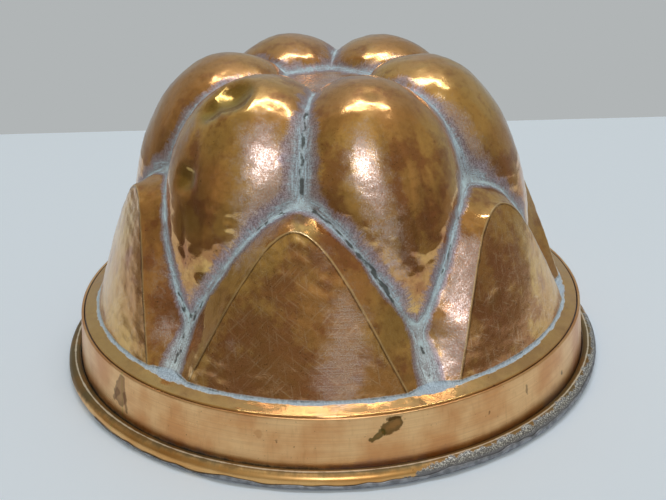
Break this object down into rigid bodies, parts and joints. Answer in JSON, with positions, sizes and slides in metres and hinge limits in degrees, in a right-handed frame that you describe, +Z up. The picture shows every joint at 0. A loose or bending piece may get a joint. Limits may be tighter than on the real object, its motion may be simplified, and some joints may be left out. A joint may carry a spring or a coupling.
{
  "type": "cake mould",
  "caption": "Round copper cake mould with egg-shaped lobes over pointed arches, a plain collar and a rolled rim wired with iron, hollow and open at the rim.",
  "frame": {"origin": "on the mould's axis, in the plane of the surface that its rim stands on", "axes": "+Z up the mould's axis towards the flat plate, -Y through the middle of one arch"},
  "size_m": [0.1908, 0.1908, 0.1045],
  "materials": {
    "polished_copper": "hand-polished copper sheet with soft scratches",
    "satin_copper": "satin copper, rubbed along its length",
    "yellow_braze": "filed flush",
    "iron_wire": "plain drawn wire",
    "tin_solder": "dull, lumpy"
  },
  "bodies": {
    "root": {"crown_shell": "polished_copper", "collar_band": "satin_copper", "collar_seam_braze": "yellow_braze", "collar_solder": "tin_solder", "rim_wire": "iron_wire", "rim_tin": "tin_solder"}
  },
  "joints": []
}
